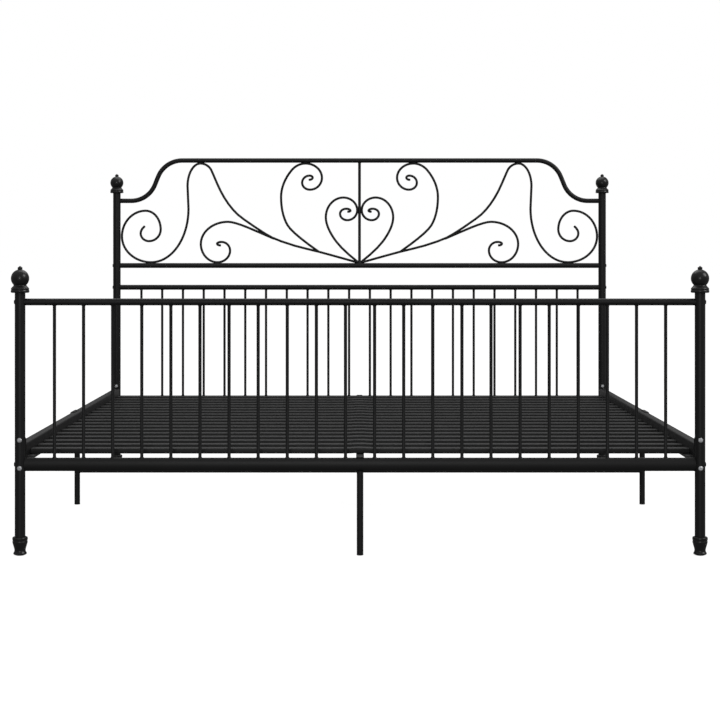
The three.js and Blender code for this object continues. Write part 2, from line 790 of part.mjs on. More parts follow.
// The head posts are drilled for their low rail's bolts too, which have no pieces of their own.
for (const [endName, end] of Object.entries(ENDS)) {
  const isHead = endName === "head";
  const drilled = isHead ? [end.lowRailZ, ...end.boltHeights] : end.boltHeights;
  const postGeometry = post(end.topZ, drilled, isHead);
  for (const [sideName, side] of Object.entries(SIDES)) {
    const place = `${endName}_${sideName}`;
    const corner = new THREE.Group();
    corner.position.set(side * POST_X, end.sign * POST_Y, 0);
    corner.scale.set(side, end.sign, 1);
    corner.add(
      piece(`post_${place}`, postGeometry, PAINT),
      piece(`finial_${place}`, finial(), PLASTIC, 0, 0, end.topZ),
      piece(`foot_cap_${place}`, footCap(), PLASTIC),
    );
    RAIL_BOLT_HEIGHTS.forEach((z, i) => {
      const name = `rail_bolt_${place}_${i + 1}`;
      corner.add(piece(name, railBolt(), ZINC, RAIL_BOLT_X - POST_X, 0, z));
    });
    end.boltHeights.forEach((z, i) => {
      corner.add(piece(`panel_bolt_${place}_${i + 1}`, panelBolt(), BLACK_SCREW, 0, 0, z));
    });
    bedFrame.add(corner);

    const quarter = new THREE.Group();
    quarter.scale.set(side, end.sign, 1);
    quarter.add(piece(`side_rail_${place}`, sideRail(), PAINT));
    bedFrame.add(quarter);
  }

  const middle = new THREE.Group();
  middle.scale.set(1, end.sign, 1);
  middle.add(
    piece(`centre_beam_${endName}`, centreBeam(end.lowRailZ), PAINT),
    piece(`centre_leg_${endName}`, centreLeg(end.lowRailZ), PAINT, 0, POST_Y, 0),
  );
  bedFrame.add(middle);
}

bedFrame.add(
  piece("footboard_bar_panel", barPanel(FOOT_LOW_RAIL_Z), PAINT, 0, -POST_Y, 0),
  piece("headboard_bar_panel", barPanel(HEAD_LOW_RAIL_Z), PAINT, 0, POST_Y, 0),
  piece("headboard_scroll_panel", scrollPanel(), PAINT, 0, POST_Y, 0),
  piece("mid_leg_frame", midLegFrame(), PAINT),
);

for (const [sideName, side] of Object.entries(SIDES)) {
  const connector = piece(`rail_connector_${sideName}`, railConnector(), PAINT);
  connector.scale.x = side;
  bedFrame.add(connector);
}

const slatPitch = (2 * POST_Y) / (SLAT_COUNT + 1);
for (let i = 1; i <= SLAT_COUNT; i++) {
  const name = `slat_${String(i).padStart(2, "0")}`;
  bedFrame.add(piece(name, slat(), PAINT, 0, -POST_Y + i * slatPitch, 0));
}

export default bedFrame;
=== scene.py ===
"""The looks of the metal bed frame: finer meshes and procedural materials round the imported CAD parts."""

import math

import bmesh
import bpy
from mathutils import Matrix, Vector, noise


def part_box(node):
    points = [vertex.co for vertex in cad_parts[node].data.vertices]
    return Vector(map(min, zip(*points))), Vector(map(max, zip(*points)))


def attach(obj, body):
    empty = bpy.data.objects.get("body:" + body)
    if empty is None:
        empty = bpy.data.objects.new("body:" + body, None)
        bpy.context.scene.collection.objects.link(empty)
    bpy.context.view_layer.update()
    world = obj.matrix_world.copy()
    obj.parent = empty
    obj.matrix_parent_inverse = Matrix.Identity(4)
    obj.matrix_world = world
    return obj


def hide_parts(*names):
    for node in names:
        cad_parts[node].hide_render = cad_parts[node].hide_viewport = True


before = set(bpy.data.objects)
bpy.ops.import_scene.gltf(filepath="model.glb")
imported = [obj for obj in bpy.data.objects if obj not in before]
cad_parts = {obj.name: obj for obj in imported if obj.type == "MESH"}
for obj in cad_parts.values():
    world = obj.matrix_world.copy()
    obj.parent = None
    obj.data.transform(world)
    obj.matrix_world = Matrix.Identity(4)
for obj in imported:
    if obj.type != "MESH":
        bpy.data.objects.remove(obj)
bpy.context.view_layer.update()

MM = 0.001

# The same sizes as the CAD part, in millimetres.
POST_X = 1030
POST_Y = 1030
POST_RADIUS = 15.9
FOOT_LOW_RAIL_Z = 275
HEAD_LOW_RAIL_Z = 287.5
BAR_TOP_RAIL_Z = 767
SCROLL_RAIL_Z = 859.5
ARCH_END_Z = 1134
ARCH_TOP_Z = 1305.3
RAIL_RADIUS = 10.5
OVAL_HALF_HEIGHT = 20.5
OVAL_HALF_DEPTH = 10
BAR_RADIUS = 5
BAR_COUNT = 22
BAR_PITCH = 88.17
ARCH_RADIUS = 9.7
ARCH_LOW_BEND_X = 969
ARCH_LOW_BEND_RADIUS = 108
ARCH_HIGH_BEND_X = 752.7
ARCH_HIGH_BEND_RADIUS = 110
ARCH_SLOPE = 67
ROD_RADIUS = 5
CENTRE_ROD_RADIUS = 6
SIDE_INNER = 1015.5
SIDE_OUTER = 1043.5
SIDE_BOTTOM = 277.5
SIDE_TOP = 337.5
LEDGE_WIDTH = 22
LEDGE_TOP = 296.7
LEDGE_THICKNESS = 2.5
PLATE_WIDTH = 30
PLATE_HEIGHT = 100
PLATE_THICKNESS = 4
CONNECTOR_LENGTH = 80
CONNECTOR_THICKNESS = 2.5
CONNECTOR_LIP = 14
SLAT_WIDTH = 40
SLAT_HEIGHT = 16
SLAT_SHEET = 1
BEAM_WIDTH = 24
BEAM_HEIGHT = 25
HOOK_THICKNESS = 2
MID_LEG_X = 1027.5
LEG_RADIUS = 10
LEG_PLATE_THICKNESS = 3
LEG_PLATE_LENGTH = 60
SADDLE_LENGTH = 120
SADDLE_LIP = 17
STRETCHER_Z = 125
STUD_RADIUS = 4
STUD_LENGTH = 13
RAIL_BOLT_X = 1028.5
RAIL_BOLT_HEIGHTS = (264.5, 349.4)
RAIL_BOLT_RADIUS = 3.9
RAIL_BOLT_HEAD = (7.2, 4)
RAIL_BOLT_END = 3
NUT_RADIUS = 6.6
NUT_HEIGHT = 6.5
PANEL_BOLT_RADIUS = 3
PANEL_BOLT_HEAD = (6.4, 2)
PANEL_BOLT_GRIP = 20
GAP = 0.3

# Bent rods of the left half of the scrolled panel, as waypoints of x, z and heading in degrees.
LONG_SCROLL = [
    (-913, 1025, -140), (-929, 996, -90), (-893.5, 963, 0), (-844, 1013, 90), (-908, 1092, 180),
    (-1008.5, 983, 270), (-884, 873.2, 360), (-726, 1100, 450), (-730, 1197, 450),
    (-675, 1292.6, 360), (-630, 1266, 300), (-604.5, 1207.5, 293), (-517, 1076, 317),
    (-444, 1023, 326), (-371, 978, 334), (-275, 943.5, 343), (-173, 918, 345), (-4, 871, 344),
]
LOWER_SCROLL = [
    (-591, 945, 180), (-604.5, 952, 90), (-586, 959.5, 0), (-549.5, 923, -90),
    (-603, 873.2, -180), (-673.5, 951, -270), (-558, 1045, -360), (-444, 1008, -384),
    (-365, 974, -385),
]
UPPER_SCROLL = [
    (-213, 1223.5, 0), (-199, 1232.5, 90), (-212, 1241, 180), (-243.5, 1210.5, 270),
    (-210, 1181.5, 360), (-159.5, 1232, 450), (-229, 1292.6, 540), (-288, 1264, 590),
    (-333, 1150, 630), (-305, 1030, 661), (-173, 918, 685),
]
HEART_SCROLL = [
    (-49, 1088, 0), (-38.5, 1092, 90), (-56, 1100.5, 180), (-82.5, 1079, 270), (-52, 1052, 360),
    (-9.6, 1094, 450), (-68.5, 1148, 540), (-143, 1064, 630), (-98.6, 961, 667), (-4, 872, 682),
]
SCROLLS = (LONG_SCROLL, LOWER_SCROLL, UPPER_SCROLL, HEART_SCROLL)


# ---- Materials ----

def new_material(name):
    material = bpy.data.materials.new(name)
    material.use_nodes = True
    nodes = material.node_tree.nodes
    return material, nodes, material.node_tree.links, nodes["Principled BSDF"]


def noise_node(nodes, links, scale, detail=2.0, roughness=0.5):
    coordinates = nodes.new("ShaderNodeTexCoord")
    texture = nodes.new("ShaderNodeTexNoise")
    texture.inputs["Scale"].default_value = scale
    texture.inputs["Detail"].default_value = detail
    texture.inputs["Roughness"].default_value = roughness
    links.new(coordinates.outputs["Object"], texture.inputs["Vector"])
    return texture.outputs["Fac"]


def mapped(nodes, links, value, low, high):
    spread = nodes.new("ShaderNodeMapRange")
    spread.inputs["From Min"].default_value = 0.3
    spread.inputs["From Max"].default_value = 0.7
    spread.inputs["To Min"].default_value = low
    spread.inputs["To Max"].default_value = high
    links.new(value, spread.inputs["Value"])
    return spread.outputs["Result"]


def coloured(nodes, links, value, dark, light):
    ramp = nodes.new("ShaderNodeValToRGB")
    ramp.color_ramp.elements[0].position = 0.3
    ramp.color_ramp.elements[0].color = (*dark, 1)
    ramp.color_ramp.elements[1].position = 0.7
    ramp.color_ramp.elements[1].color = (*light, 1)
    links.new(value, ramp.inputs["Fac"])
    return ramp.outputs["Color"]


def bumped(nodes, links, shader, heights):
    """Chains one bump node for each (height, strength, distance)."""
    normal = None
    for height, strength, distance in heights:
        bump = nodes.new("ShaderNodeBump")
        bump.inputs["Strength"].default_value = strength
        bump.inputs["Distance"].default_value = distance
        links.new(height, bump.inputs["Height"])
        if normal:
            links.new(normal, bump.inputs["Normal"])
        normal = bump.outputs["Normal"]
    links.new(normal, shader.inputs["Normal"])


def powder_coat():
    material, nodes, links, shader = new_material("black_powder_coat")
    cloud = noise_node(nodes, links, 9, 3)
    speckle = noise_node(nodes, links, 1500, 2, 0.6)
    peel = noise_node(nodes, links, 520, 1.5)
    links.new(coloured(nodes, links, cloud, (0.0068, 0.0068, 0.0071), (0.0092, 0.0092, 0.0096)),
              shader.inputs["Base Color"])
    links.new(mapped(nodes, links, speckle, 0.40, 0.52), shader.inputs["Roughness"])
    shader.inputs["Specular IOR Level"].default_value = 0.36
    bumped(nodes, links, shader, [(peel, 0.10, 0.0001), (speckle, 0.05, 0.00005)])
    return material


def moulded_plastic():
    material, nodes, links, shader = new_material("black_moulded_plastic")
    cloud = noise_node(nodes, links, 30, 2)
    grain = noise_node(nodes, links, 1400, 3, 0.6)
    links.new(coloured(nodes, links, cloud, (0.0066, 0.0066, 0.0066), (0.0088, 0.0088, 0.0088)),
              shader.inputs["Base Color"])
    links.new(mapped(nodes, links, grain, 0.26, 0.36), shader.inputs["Roughness"])
    shader.inputs["Specular IOR Level"].default_value = 0.5
    bumped(nodes, links, shader, [(grain, 0.1, 0.00005)])
    return material


def zinc_plate():
    material, nodes, links, shader = new_material("zinc_plate")
    cloud = noise_node(nodes, links, 260, 4, 0.6)
    grain = noise_node(nodes, links, 1800, 2)
    links.new(coloured(nodes, links, cloud, (0.66, 0.67, 0.69), (0.78, 0.79, 0.80)),
              shader.inputs["Base Color"])
    links.new(mapped(nodes, links, cloud, 0.62, 0.5), shader.inputs["Roughness"])
    shader.inputs["Metallic"].default_value = 1.0
    bumped(nodes, links, shader, [(grain, 0.2, 0.0001)])
    return material


def black_oxide():
    material, nodes, links, shader = new_material("black_oxide_screw")
    cloud = noise_node(nodes, links, 300, 3)
    grain = noise_node(nodes, links, 1600, 2)
    links.new(coloured(nodes, links, cloud, (0.010, 0.010, 0.011), (0.018, 0.018, 0.019)),
              shader.inputs["Base Color"])
    links.new(mapped(nodes, links, cloud, 0.34, 0.46), shader.inputs["Roughness"])
    shader.inputs["Specular IOR Level"].default_value = 0.45
    bumped(nodes, links, shader, [(grain, 0.15, 0.0001)])
    return material


MATERIALS = {
    "black_paint": powder_coat(),
    "black_plastic": moulded_plastic(),
    "zinc_steel": zinc_plate(),
    "black_screw": black_oxide(),
}


# ---- Mesh building, in millimetres ----

class Shape:
    def __init__(self):
        self.points = []
        self.faces = []

    def ring(self, points):
        start = len(self.points)
        self.points.extend(tuple(p) for p in points)
        return list(range(start, start + len(points)))

    def loft(self, rings, around=False):
        """Skins rings of equally many points and closes both ends. around joins the ends instead."""
        loops = [self.ring(r) for r in rings]
        pairs = list(zip(loops, loops[1:]))
        if around:
            pairs.append((loops[-1], loops[0]))
        for a, b in pairs:
            for i in range(len(a)):
                j = (i + 1) % len(a)
                self.faces.append((a[i], a[j], b[j], b[i]))
        if not around:
            self.faces.append(tuple(reversed(loops[0])))
            self.faces.append(tuple(loops[-1]))

    def add(self, other, change=lambda p: p):
        start = len(self.points)
        self.points.extend(change(p) for p in other.points)
        self.faces.extend(tuple(start + i for i in face) for face in other.faces)


def make_piece(name, shape, slot, node=None, sharp_degrees=38):
    """Turns a shape into an object that rides on the frame and stands for its CAD node."""
    mesh = bpy.data.meshes.new(name)
    mesh.from_pydata([tuple(c * MM for c in p) for p in shape.points], [], shape.faces)
    work = bmesh.new()
    work.from_mesh(mesh)
    bmesh.ops.remove_doubles(work, verts=work.verts, dist=1e-7)
    bmesh.ops.recalc_face_normals(work, faces=work.faces)
    limit = math.radians(sharp_degrees)
    for edge in work.edges:
        edge.smooth = len(edge.link_faces) == 2 and edge.calc_face_angle() < limit
    for face in work.faces:
        face.smooth = True
    work.to_mesh(mesh)
    work.free()
    piece = bpy.data.objects.new(name, mesh)
    bpy.context.scene.collection.objects.link(piece)
    mesh.materials.append(MATERIALS[slot])
    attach(piece, "root")
    if node:
        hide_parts(node)
    return piece


def oval(sides, half_width, half_height):
    angles = [2 * math.pi * i / sides for i in range(sides)]
    return [(half_width * math.cos(a), half_height * math.sin(a)) for a in angles]


def circle(sides, radius):
    return oval(sides, radius, radius)


def level_ring(outline, z):
    """A ring of points at one height."""
    return [(x, y, z) for x, y in outline]


def placed(shape, change):
    """A copy of a shape with every point changed."""
    copy = Shape()
    copy.add(shape, change)
    return copy


def shift(x=0, y=0, z=0):
    return lambda p: (p[0] + x, p[1] + y, p[2] + z)


def mirror(x=1, y=1):
    """Mirrors a point in each direction that is -1."""
    return lambda p: (x * p[0], y * p[1], p[2])


def rounded(corners, radius, steps=4):
    """A 2-D outline whose corners are turned into arcs. A corner may carry its own radius."""
    result = []
    count = len(corners)
    for i, corner in enumerate(corners):
        here = Vector(corner[:2])
        size = corner[2] if len(corner) > 2 else radius
        before = (Vector(corners[i - 1][:2]) - here).normalized()
        after = (Vector(corners[(i + 1) % count][:2]) - here).normalized()
        if size <= 0:
            result.append(tuple(here))
            continue
        half = before.angle(after) / 2
        reach = size / math.tan(half)
        centre = here + (before + after).normalized() * (size / math.sin(half))
        start = here + before * reach - centre
        sweep = math.pi - 2 * half
        turn = 1 if before.x * after.y - before.y * after.x < 0 else -1
        for k in range(steps + 1):
            angle = turn * sweep * k / steps
            cosine, sine = math.cos(angle), math.sin(angle)
            result.append((centre.x + start.x * cosine - start.y * sine,
                           centre.y + start.x * sine + start.y * cosine))
    return result


def extrude(outline, places, plane):
    """Lofts an outline through places along the axis that the plane leaves out."""
    put = {
        "xy": lambda u, v, w: (u, v, w),
        "yz": lambda u, v, w: (w, u, v),
        "xz": lambda u, v, w: (u, w, v),
    }[plane]
    shape = Shape()
    shape.loft([[put(u, v, w) for u, v in outline] for w in places])
    return shape


# A turned shape ends in a facet of this radius on its axis.
AXIS_RADIUS = 0.05


def turned(profile, sides):
    """A lathe about Z of a profile of (radius, height) points."""
    shape = Shape()
    shape.loft([level_ring(circle(sides, max(r, AXIS_RADIUS)), z) for r, z in profile])
    return shape


# The third value of a profile point that keeps its corner.
SHARP = 1


def smooth_profile(points, steps):
    """A Catmull-Rom line through profile points. A point marked SHARP keeps its corner."""
    result = []
    for i in range(len(points) - 1):
        p1, p2 = points[i], points[i + 1]
        p0 = points[i - 1] if i and len(p1) == 2 else p1
        p3 = points[i + 2] if i + 2 < len(points) and len(p2) == 2 else p2
        for k in range(steps):
            t = k / steps
            result.append(tuple(
                0.5 * (2 * p1[c] + (p2[c] - p0[c]) * t
                       + (2 * p0[c] - 5 * p1[c] + 4 * p2[c] - p3[c]) * t ** 2
                       + (3 * p1[c] - p0[c] - 3 * p2[c] + p3[c]) * t ** 3)
                for c in (0, 1)))
    result.append(points[-1][:2])
    return result


# ---- Bent rods ----

def bend_point(first, second, t):
    """A point of the cubic curve between two (x, z, heading) waypoints."""
    start, end = Vector(first[:2]), Vector(second[:2])
    leave = Vector((math.cos(math.radians(first[2])), math.sin(math.radians(first[2]))))
    arrive = Vector((math.cos(math.radians(second[2])), math.sin(math.radians(second[2]))))
    chord = end - start
    turn = math.radians(abs(second[2] - first[2]))
    reach = back = chord.length / 3
    if math.sin(turn) > 0.1:
        roundness = 4 / 3 * math.tan(turn / 4) / math.tan(turn / 2)
        cross = leave.x * arrive.y - leave.y * arrive.x
        reach = roundness * (chord.x * arrive.y - chord.y * arrive.x) / cross
        back = roundness * (leave.x * chord.y - leave.y * chord.x) / cross
    a, b = start + leave * reach, end - arrive * back
    s = 1 - t
    return s ** 3 * start + 3 * s * s * t * a + 3 * s * t * t * b + t ** 3 * end


def rod_line(waypoints, degrees=5):
    line = []
    for first, second in zip(waypoints, waypoints[1:]):
        length = (Vector(second[:2]) - Vector(first[:2])).length
        steps = max(1, math.ceil(abs(second[2] - first[2]) / degrees), math.ceil(length / 60))
        line += [bend_point(first, second, k / steps) for k in range(steps)]
    line.append(Vector(waypoints[-1][:2]))
    return line


def rod(line, radius, sides, round_ends=True):
    """A round rod along a line of (x, z) points in the plane y = 0."""
    rings = []
    last = len(line) - 1
    for i, here in enumerate(line):
        along = (line[min(i + 1, last)] - line[max(i - 1, 0)]).normalized()
        across = Vector((-along.y, along.x))
        # How far each ring slides along the rod and how wide it is, as shares of the radius.
        offsets = [(0, 1)]
        if round_ends and i in (0, last):
            offsets = [(-0.62, 0.6), (-0.5, 0.84), (-0.25, 0.97), (0, 1)]
            if i == last:
                offsets = [(-a, r) for a, r in reversed(offsets)]
        for slide, share in offsets:
            centre = here + along * slide * radius
            rings.append([
                (centre.x + across.x * v * share, u * share, centre.y + across.y * v * share)
                for u, v in circle(sides, radius)
            ])
    shape = Shape()
    shape.loft(rings)
    return shape


# ---- Welds ----

# A weld's hollow outline round a bar: how far it stands out, and its height on the host tube.
FILLET = [(2.0, -1.2), (1.9, -0.2), (1.35, 0.5), (0.75, 1.1), (0.3, 2.0), (0.0, 3.2)]


def ripple(point, amount):
    return amount * noise.noise(Vector(point) * 0.35)


def welded_bar(axis, cross, low, high, radius, sides, low_host=None, high_host=None):
    """A round bar along Z or X whose ends meet other tubes with a weld fillet.
    A host is the (half depth, half height) of the tube whose centre line the end stands on."""
    def surface(host, lateral):
        depth, height = host
        return height * math.sqrt(max(0.0, 1 - (lateral / depth) ** 2))

    def place(u, lateral, w):
        return (cross + u, lateral, w) if axis == "z" else (w, lateral, cross + u)

    rings = []
    for level, host, sign in ((low, low_host, 1), (high, high_host, -1)):
        end = []
        if host is None:
            end.append([place(u, v, level) for u, v in circle(sides, radius)])
        else:
            for extra, rise in FILLET:
                points = []
                for u, v in circle(sides, radius):
                    swell = (radius + extra) / radius
                    lateral = min(max(v * swell, -host[0]), host[0])
                    point = place(u * swell, lateral, level + sign * (surface(host, lateral) + rise))
                    wobble = 1 + ripple(point, 0.16 if extra else 0) * extra / radius
                    points.append(place(u * swell * wobble, lateral, point[2 if axis == "z" else 0]))
                end.append(points)
        rings += end if sign == 1 else list(reversed(end))
    shape = Shape()
    shape.loft(rings)
    return shape


def bead(centre, size, seed):
    """A small uneven blob of weld."""
    work = bmesh.new()
    bmesh.ops.create_icosphere(work, subdivisions=2, radius=1)
    shape = Shape()
    for vertex in work.verts:
        swell = 1 + 0.22 * noise.noise(vertex.co * 1.7 + Vector((seed, seed * 0.7, 0)))
        shape.points.append(tuple(c + swell * s * x for c, s, x in zip(centre, size, vertex.co)))
    shape.faces = [tuple(v.index for v in face.verts) for face in work.faces]
    work.free()
    return shape


def bead_line(start, end, radius, seed):
    """A run of weld from one point to another, with the ripples of its passes."""
    a, b = Vector(start), Vector(end)
    along = (b - a).normalized()
    side = along.orthogonal().normalized()
    other = along.cross(side)
    count = max(6, int((b - a).length / 1.6))
    rings = []
    for i in range(count + 1):
        t = i / count
        share = math.sqrt(max(0.02, 1 - (2 * t - 1) ** 8))
        passes = 0.10 * math.sin(i * 2.1 + seed)
        size = radius * share * (1 + passes + 0.1 * noise.noise(Vector((i, seed, 0))))
        centre = a.lerp(b, t)
        rings.append([centre + (side * u + other * v) * size for u, v in circle(8, 1)])
    shape = Shape()
    shape.loft(rings)
    return shape


# ---- Head and foot panels ----

def coped_rail(z, half_depth, half_height, sides):
    """A rail across the bed, its ends shaped to the round posts."""
    rings = []
    section = oval(sides, half_depth, half_height)
    reach = POST_RADIUS + GAP
    for sign in (-1, 1):
        ends = []
        for inset, shrink in ((0, 0.96), (0.4, 1), (12, 1)):
            ring = []
            for u, v in section:
                meet = math.sqrt(max(0.0, reach ** 2 - (u * shrink) ** 2)) + inset
                ring.append((sign * (POST_X - meet), u * shrink, z + v * shrink))
            ends.append(ring)
        rings += ends if sign == -1 else list(reversed(ends))
    shape = Shape()
    shape.loft(rings)
    return shape


def bar_positions():
    return [(i - (BAR_COUNT - 1) / 2) * BAR_PITCH for i in range(BAR_COUNT)]


def bar_panel(low_rail_z):
    shape = Shape()
    shape.add(coped_rail(low_rail_z, OVAL_HALF_DEPTH, OVAL_HALF_HEIGHT, 48))
    shape.add(coped_rail(BAR_TOP_RAIL_Z, RAIL_RADIUS, RAIL_RADIUS, 40))
    for x in bar_positions():
        shape.add(welded_bar("z", x, low_rail_z, BAR_TOP_RAIL_Z, BAR_RADIUS, 24,
                             (OVAL_HALF_DEPTH, OVAL_HALF_HEIGHT), (RAIL_RADIUS, RAIL_RADIUS)))
    return shape


def arch_waypoints(end_x):
    """The arch leaves the post level, climbs through two bends and runs level in the middle."""
    sine = math.sin(math.radians(ARCH_SLOPE))
    rise = 1 - math.cos(math.radians(ARCH_SLOPE))
    low_x = ARCH_LOW_BEND_X - ARCH_LOW_BEND_RADIUS * sine
    low_z = ARCH_END_Z + ARCH_LOW_BEND_RADIUS * rise
    high_x = ARCH_HIGH_BEND_X + ARCH_HIGH_BEND_RADIUS * sine
    high_z = ARCH_TOP_Z - ARCH_HIGH_BEND_RADIUS * rise
    left = [
        (-end_x, ARCH_END_Z, 0),
        (-ARCH_LOW_BEND_X, ARCH_END_Z, 0),
        (-low_x, low_z, ARCH_SLOPE),
        (-high_x, high_z, ARCH_SLOPE),
        (-ARCH_HIGH_BEND_X, ARCH_TOP_Z, 0),
    ]
    return left + [(-x, z, -heading) for x, z, heading in reversed(left)]


# How far in front of and behind the rods' plane the scrolled panel's welds have their middles.
WELD_DEPTH = 2.6


def scroll_panel():
    shape = Shape()
    shape.add(coped_rail(SCROLL_RAIL_Z, RAIL_RADIUS, RAIL_RADIUS, 40))
    arch = rod(rod_line(arch_waypoints(POST_X - POST_RADIUS), 3), ARCH_RADIUS, 40, round_ends=False)
    reach = POST_RADIUS + GAP
    limit = POST_X - POST_RADIUS - 0.01

    def cope(p):
        if abs(p[0]) < limit:
            return p
        return (math.copysign(POST_X - math.sqrt(reach ** 2 - p[1] ** 2), p[0]), p[1], p[2])

    shape.add(arch, cope)
    shape.add(welded_bar("z", 0, SCROLL_RAIL_Z, ARCH_TOP_Z, CENTRE_ROD_RADIUS, 28,
                         (RAIL_RADIUS, RAIL_RADIUS), (ARCH_RADIUS, ARCH_RADIUS)))
    for waypoints in SCROLLS:
        bent = rod(rod_line(waypoints), ROD_RADIUS, 20)
        shape.add(bent)
        shape.add(bent, mirror(x=-1))
    rail_top = SCROLL_RAIL_Z + RAIL_RADIUS
    arch_under = ARCH_TOP_Z - ARCH_RADIUS
    # Where the left half's rods touch the rail, the arch and each other: centre and half size.
    welds = [
        ((-884, 0, rail_top), (11, 3.2, 2.4)), ((-603, 0, rail_top), (11, 3.2, 2.4)),
        ((-675, 0, arch_under), (10, 3.2, 2.4)), ((-229, 0, arch_under), (10, 3.2, 2.4)),
        ((-8, 0, 1094), (1.6, 2.6, 6)), ((-365, 0, 975), (7, 3.4, 3.4)),
        ((-173, 0, 918), (7, 3.6, 3.6)), ((-14, 0, 876), (8, 4.2, 5)),
    ]
    for i, (centre, size) in enumerate(welds):
        for sign in (-1, 1):
            for face in (-1, 1):
                spot = (sign * centre[0], face * WELD_DEPTH, centre[2])
                shape.add(bead(spot, size, 3.1 * i + sign + 0.3 * face))
    return shape


PANELS = {
    "footboard_bar_panel": (bar_panel(FOOT_LOW_RAIL_Z), -POST_Y),
    "headboard_bar_panel": (bar_panel(HEAD_LOW_RAIL_Z), POST_Y),
    "headboard_scroll_panel": (scroll_panel(), POST_Y),
}
for node, (panel, y) in PANELS.items():
    make_piece(node + "_fine", placed(panel, shift(y=y)), "black_paint", node)


# ---- Posts, finials and caps ----

# The finial's ball: its radius and middle, and the radii where the waist and the neck meet it.
BALL_RADIUS = 27.4
BALL_Z = 43.3
BALL_STEPS = 14
WAIST_RADIUS = 20
NECK_RADIUS = 8


def ball_outline():
    """The finial's ball as an arc, from the waist up to the neck of the tip."""
    start = -math.acos(WAIST_RADIUS / BALL_RADIUS)
    sweep = math.acos(NECK_RADIUS / BALL_RADIUS) - start
    angles = [start + sweep * i / BALL_STEPS for i in range(BALL_STEPS + 1)]
    return [(BALL_RADIUS * math.cos(a), BALL_Z + BALL_RADIUS * math.sin(a)) for a in angles]


# Outlines as radius and height: plug, flange, collar, waist, ball and tip, then the cap from
# the floor up: foot, waist, shoulder, groove, rim and bore.
FINIAL = [
    (0, -2, SHARP), (15, -2, SHARP), (15, 0, SHARP), (25.4, 0), (28, 4), (26.7, 9), (27, 13),
    (WAIST_RADIUS, 21.5), *ball_outline(), (6.8, 72), (7.2, 76), (0, 81.5),
]
CAP = [
    (0, 0, SHARP), (12, 0, SHARP), (20.2, 5), (16.8, 16), (22.4, 38), (22.4, 43), (22, 45),
    (23, 48), (23, 53), (21, 55.7), (16.9, 55, SHARP), (16.6, 40, SHARP), (0, 40, SHARP),
]
PROFILE_STEPS = 6
ROUND_SIDES = 72
# How much the rims of a post's ends are broken.
EDGE = 0.3


def post(bottom, top):
    edge_radius = POST_RADIUS - EDGE
    return turned([
        (0, bottom), (POST_RADIUS - 1.2, bottom), (edge_radius, bottom), (POST_RADIUS, bottom + EDGE),
        (POST_RADIUS, top - EDGE), (edge_radius, top), (0, top)], ROUND_SIDES)


def hexagon(radius, samples):
    """As many points as samples, spread along a hexagon."""
    points = []
    for i in range(samples):
        angle = 2 * math.pi * i / samples
        wedge = (angle % (math.pi / 3)) - math.pi / 6
        reach = radius * math.cos(math.pi / 6) / math.cos(wedge)
        points.append((reach * math.cos(angle), reach * math.sin(angle)))
    return points


BOLT_FACETS = 36
THREAD_PITCH = 1.25
THREAD_DEPTH = 0.55
THREAD_LENGTH = 24
HEAD_EDGE = 0.3
HEAD_RIM = 0.9
DOME_DEGREES = 62
DOME_STEPS = 7
DOME_FALL = 0.55
SOCKET_SHARE = 0.28
SOCKET_MOUTH_SHARE = 0.36


def bolt(seat, head, shank_radius, end):
    """A bolt along +Z with a domed head and a hexagon socket. seat is where the head starts."""
    head_radius, head_height = head
    outlines = [(circle(BOLT_FACETS, shank_radius - 0.6), -end)]
    root = circle(BOLT_FACETS, shank_radius - THREAD_DEPTH)
    shank = circle(BOLT_FACETS, shank_radius)
    turns = max(2, int((min(end, THREAD_LENGTH) - 1) / THREAD_PITCH))
    for i in range(turns):
        low = -end + 0.5 + i * THREAD_PITCH
        outlines += [(root, low), (shank, low + THREAD_PITCH / 2)]
    outlines += [(shank, -end + 0.6 + turns * THREAD_PITCH), (shank, seat)]
    rim = circle(BOLT_FACETS, head_radius)
    outlines.append((circle(BOLT_FACETS, head_radius - HEAD_EDGE), seat))
    outlines += [(rim, seat + HEAD_EDGE), (rim, seat + HEAD_RIM)]
    full = math.sin(math.radians(DOME_DEGREES))
    for k in range(1, DOME_STEPS + 1):
        share = math.sin(k / DOME_STEPS * math.radians(DOME_DEGREES)) / full
        radius = head_radius * (1 - DOME_FALL * share ** 3)
        outlines.append((circle(BOLT_FACETS, radius), seat + HEAD_RIM + (head_height - HEAD_RIM) * share))
    socket = head_radius * SOCKET_SHARE
    wall = hexagon(socket, BOLT_FACETS)
    top = seat + head_height
    outlines += [
        (circle(BOLT_FACETS, head_radius * SOCKET_MOUTH_SHARE), top),
        (hexagon(socket + 0.25, BOLT_FACETS), top - 0.15),
        (wall, top - 0.5),
        (wall, top - head_height * 0.62),
        (circle(BOLT_FACETS, 0.4), top - head_height * 0.72),
    ]
    shape = Shape()
    shape.loft([level_ring(outline, z) for outline, z in outlines])
    return shape


NUT_FACETS = 24


def hex_nut(radius, height):
    """A nut along +Z whose corners are cut back to a circle at both faces."""
    middle = hexagon(radius, NUT_FACETS)
    face = circle(NUT_FACETS, radius * 0.9)
    core = circle(NUT_FACETS, radius * 0.55)
    levels = [(core, 0), (face, 0), (middle, 0.12), (middle, 0.88), (face, 1), (core, 1)]
    shape = Shape()
    shape.loft([level_ring(outline, level * height) for outline, level in levels])
    return shape


